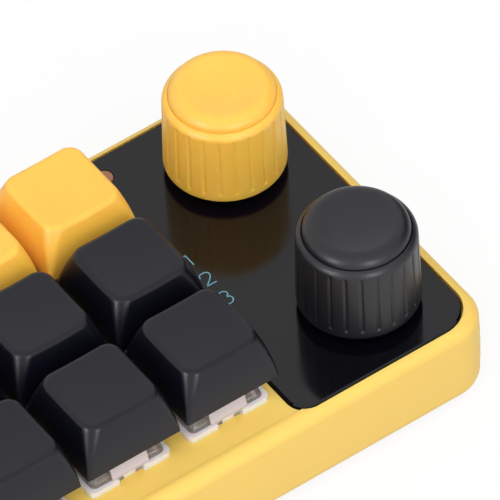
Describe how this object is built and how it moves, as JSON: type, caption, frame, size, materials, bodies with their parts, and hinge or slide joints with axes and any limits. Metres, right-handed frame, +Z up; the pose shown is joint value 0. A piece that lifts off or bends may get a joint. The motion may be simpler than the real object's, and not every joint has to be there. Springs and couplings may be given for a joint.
{
  "type": "programmable keyboard",
  "caption": "Low rounded desk keypad with a grid of sculpted push keys, a glossy inlaid panel and push-and-turn ribbed knobs; its keys and knobs send programmed commands over USB.",
  "frame": {"origin": "on the desk, under the middle of the case", "axes": "+X towards the knobs, +Y towards the back edge with the socket, +Z up"},
  "size_m": [0.1192, 0.0684, 0.0361],
  "materials": {
    "yellow_case": "fine moulded texture, warm yellow",
    "yellow_keycap": "fine moulded texture, warm yellow",
    "black_keycap": "fine moulded texture, black",
    "yellow_knob": "satin moulded, warm yellow",
    "black_knob": "satin moulded, black",
    "black_panel": "polished black acrylic sheet",
    "white_housing": "white moulded nylon",
    "clear_housing": "frosted clear polycarbonate",
    "stem_plastic": "moulded acetal",
    "spring_steel": "drawn spring wire",
    "contact_brass": "stamped sheet",
    "shaft_metal": "turned",
    "bushing_metal": "die cast and plated",
    "rotor_plastic": "moulded",
    "encoder_plastic": "moulded",
    "cover_plastic": "fine moulded texture, warm yellow",
    "board_laminate": "black solder mask over glass laminate",
    "component_epoxy": "moulded epoxy",
    "socket_steel": "drawn and plated",
    "socket_plastic": "moulded",
    "foot_rubber": "cast silicone rubber",
    "screw_steel": "black zinc",
    "button_plastic": "moulded, salmon brown",
    "lamp_plastic": "clear epoxy over a lamp die"
  },
  "bodies": {
    "chassis": {"top_case": "yellow_case", "bottom_cover": "cover_plastic", "fascia_panel": "black_panel", "circuit_board": "board_laminate", "board_components": "component_epoxy", "usb_shell": "socket_steel", "usb_tongue": "socket_plastic", "rubber_feet": "foot_rubber", "case_screws": "screw_steel", "layer_lamps": "lamp_plastic", "switch_bases": "white_housing", "switch_tops": "clear_housing", "contact_pins": "contact_brass", "encoder_bases": "encoder_plastic", "encoder_bushings": "bushing_metal", "push_spring_back": "spring_steel", "push_spring_front": "spring_steel", "spring_r1c1": "spring_steel", "spring_r1c2": "spring_steel", "spring_r1c3": "spring_steel", "spring_r1c4": "spring_steel", "spring_r2c1": "spring_steel", "spring_r2c2": "spring_steel", "spring_r2c3": "spring_steel", "spring_r2c4": "spring_steel", "spring_r3c1": "spring_steel", "spring_r3c2": "spring_steel", "spring_r3c3": "spring_steel", "spring_r3c4": "spring_steel"},
    "key_r1c1": {"keycap_r1c1": "yellow_keycap", "stem_r1c1": "stem_plastic"},
    "key_r1c2": {"keycap_r1c2": "yellow_keycap", "stem_r1c2": "stem_plastic"},
    "key_r1c3": {"keycap_r1c3": "yellow_keycap", "stem_r1c3": "stem_plastic"},
    "key_r1c4": {"keycap_r1c4": "yellow_keycap", "stem_r1c4": "stem_plastic"},
    "key_r2c1": {"keycap_r2c1": "black_keycap", "stem_r2c1": "stem_plastic"},
    "key_r2c2": {"keycap_r2c2": "black_keycap", "stem_r2c2": "stem_plastic"},
    "key_r2c3": {"keycap_r2c3": "black_keycap", "stem_r2c3": "stem_plastic"},
    "key_r2c4": {"keycap_r2c4": "black_keycap", "stem_r2c4": "stem_plastic"},
    "key_r3c1": {"keycap_r3c1": "black_keycap", "stem_r3c1": "stem_plastic"},
    "key_r3c2": {"keycap_r3c2": "black_keycap", "stem_r3c2": "stem_plastic"},
    "key_r3c3": {"keycap_r3c3": "black_keycap", "stem_r3c3": "stem_plastic"},
    "key_r3c4": {"keycap_r3c4": "black_keycap", "stem_r3c4": "stem_plastic"},
    "encoder_rotor_back": {"rotor_back": "rotor_plastic"},
    "knob_back": {"knob_back": "yellow_knob", "shaft_back": "shaft_metal"},
    "encoder_rotor_front": {"rotor_front": "rotor_plastic"},
    "knob_front": {"knob_front": "black_knob", "shaft_front": "shaft_metal"},
    "layer_button": {"layer_button": "button_plastic"}
  },
  "joints": [
    {"name": "key_r1c1_press", "type": "slide", "parent": "chassis", "child": "key_r1c1", "axis": [0, 0, -1], "range_m": [0, 0.004], "stiffness_N_per_m": 60, "springref_m": -0.006, "deforming": ["spring_r1c1"]},
    {"name": "key_r1c2_press", "type": "slide", "parent": "chassis", "child": "key_r1c2", "axis": [0, 0, -1], "range_m": [0, 0.004], "stiffness_N_per_m": 60, "springref_m": -0.006, "deforming": ["spring_r1c2"]},
    {"name": "key_r1c3_press", "type": "slide", "parent": "chassis", "child": "key_r1c3", "axis": [0, 0, -1], "range_m": [0, 0.004], "stiffness_N_per_m": 60, "springref_m": -0.006, "deforming": ["spring_r1c3"]},
    {"name": "key_r1c4_press", "type": "slide", "parent": "chassis", "child": "key_r1c4", "axis": [0, 0, -1], "range_m": [0, 0.004], "stiffness_N_per_m": 60, "springref_m": -0.006, "deforming": ["spring_r1c4"]},
    {"name": "key_r2c1_press", "type": "slide", "parent": "chassis", "child": "key_r2c1", "axis": [0, 0, -1], "range_m": [0, 0.004], "stiffness_N_per_m": 60, "springref_m": -0.006, "deforming": ["spring_r2c1"]},
    {"name": "key_r2c2_press", "type": "slide", "parent": "chassis", "child": "key_r2c2", "axis": [0, 0, -1], "range_m": [0, 0.004], "stiffness_N_per_m": 60, "springref_m": -0.006, "deforming": ["spring_r2c2"]},
    {"name": "key_r2c3_press", "type": "slide", "parent": "chassis", "child": "key_r2c3", "axis": [0, 0, -1], "range_m": [0, 0.004], "stiffness_N_per_m": 60, "springref_m": -0.006, "deforming": ["spring_r2c3"]},
    {"name": "key_r2c4_press", "type": "slide", "parent": "chassis", "child": "key_r2c4", "axis": [0, 0, -1], "range_m": [0, 0.004], "stiffness_N_per_m": 60, "springref_m": -0.006, "deforming": ["spring_r2c4"]},
    {"name": "key_r3c1_press", "type": "slide", "parent": "chassis", "child": "key_r3c1", "axis": [0, 0, -1], "range_m": [0, 0.004], "stiffness_N_per_m": 60, "springref_m": -0.006, "deforming": ["spring_r3c1"]},
    {"name": "key_r3c2_press", "type": "slide", "parent": "chassis", "child": "key_r3c2", "axis": [0, 0, -1], "range_m": [0, 0.004], "stiffness_N_per_m": 60, "springref_m": -0.006, "deforming": ["spring_r3c2"]},
    {"name": "key_r3c3_press", "type": "slide", "parent": "chassis", "child": "key_r3c3", "axis": [0, 0, -1], "range_m": [0, 0.004], "stiffness_N_per_m": 60, "springref_m": -0.006, "deforming": ["spring_r3c3"]},
    {"name": "key_r3c4_press", "type": "slide", "parent": "chassis", "child": "key_r3c4", "axis": [0, 0, -1], "range_m": [0, 0.004], "stiffness_N_per_m": 60, "springref_m": -0.006, "deforming": ["spring_r3c4"]},
    {"name": "knob_back_turn", "type": "hinge", "parent": "chassis", "child": "encoder_rotor_back", "pos_m": [0.04385, 0.01845, 0.018], "axis": [0, 0, 1], "continuous": true},
    {"name": "knob_back_push", "type": "slide", "parent": "encoder_rotor_back", "child": "knob_back", "axis": [0, 0, -1], "range_m": [0, 0.0005], "stiffness_N_per_m": 1000, "springref_m": -0.002, "deforming": ["push_spring_back"]},
    {"name": "knob_front_turn", "type": "hinge", "parent": "chassis", "child": "encoder_rotor_front", "pos_m": [0.04385, -0.01845, 0.018], "axis": [0, 0, 1], "continuous": true},
    {"name": "knob_front_push", "type": "slide", "parent": "encoder_rotor_front", "child": "knob_front", "axis": [0, 0, -1], "range_m": [0, 0.0005], "stiffness_N_per_m": 1000, "springref_m": -0.002, "deforming": ["push_spring_front"]},
    {"name": "layer_button_press", "type": "slide", "parent": "chassis", "child": "layer_button", "axis": [0, 0, -1], "range_m": [0, 0.00025], "stiffness_N_per_m": 1500, "springref_m": -0.0008}
  ]
}
